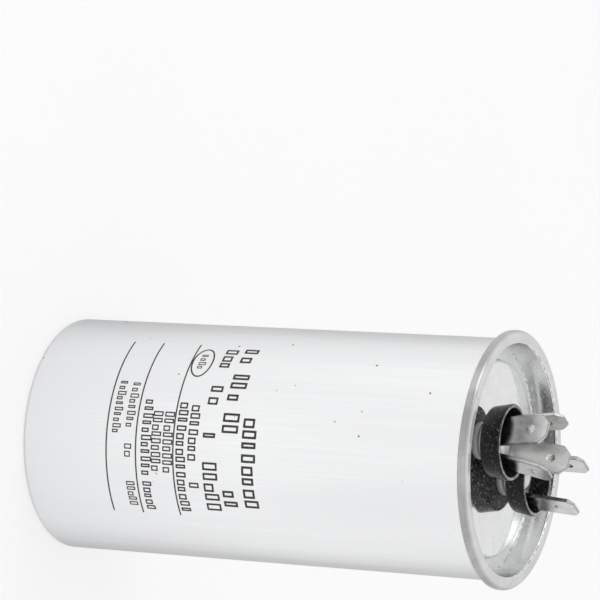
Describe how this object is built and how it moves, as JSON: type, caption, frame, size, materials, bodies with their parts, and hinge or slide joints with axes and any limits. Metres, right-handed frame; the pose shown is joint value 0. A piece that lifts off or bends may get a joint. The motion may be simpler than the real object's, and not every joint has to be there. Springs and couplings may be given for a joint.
{
  "type": "motor run capacitor",
  "caption": "Round aluminium can with a rolled seam and a recessed lid that carries a four-blade and a two-blade terminal in black insulator cups.",
  "frame": {"origin": "centre of the can's base, on the surface that it stands on", "axes": "+Z along the can from its base to the terminals; +X from the four-blade terminal to the two-blade terminal"},
  "size_m": [0.0536, 0.0536, 0.1152],
  "materials": {
    "aluminium_can": "satin drawn aluminium",
    "lid_tinplate": "bright tinplate",
    "seam_compound": "matt",
    "printing_ink": "screen printed ink",
    "black_resin": "glossy moulded resin",
    "seal_rubber": "matt",
    "blade_tin": "tin plated brass",
    "rivet_tin": "tin plated steel",
    "nylon": "moulded nylon",
    "washer_steel": "zinc plated",
    "tab_brass": "plain",
    "film": "metallised film",
    "sprayed_zinc": "rough sprayed zinc",
    "wrap_film": "plain film",
    "lead_copper": "bare wire",
    "sleeve_plastic": "woven sleeve",
    "solder": "solder"
  },
  "bodies": {
    "root": {"can": "aluminium_can", "lid": "lid_tinplate", "seam_compound": "seam_compound", "four_blade_cup": "black_resin", "two_blade_cup": "black_resin", "four_blade_seal": "seal_rubber", "two_blade_seal": "seal_rubber", "crown_wide_strip": "blade_tin", "crown_narrow_strip": "blade_tin", "two_blade_strip": "blade_tin", "four_blade_rivet": "rivet_tin", "two_blade_rivet": "rivet_tin", "four_blade_inner_washer": "nylon", "two_blade_inner_washer": "nylon", "clench_washers": "washer_steel", "interrupter_disc": "nylon", "four_blade_break_tab": "tab_brass", "two_blade_break_tab": "tab_brass", "spacer_ring": "nylon", "winding": "film", "core_tube": "nylon", "top_zinc": "sprayed_zinc", "bottom_zinc": "sprayed_zinc", "insulating_wrap": "wrap_film", "bottom_tray": "nylon", "short_lead": "lead_copper", "long_lead": "lead_copper", "lead_sleeve": "sleeve_plastic", "solder_joints": "solder"}
  },
  "joints": []
}
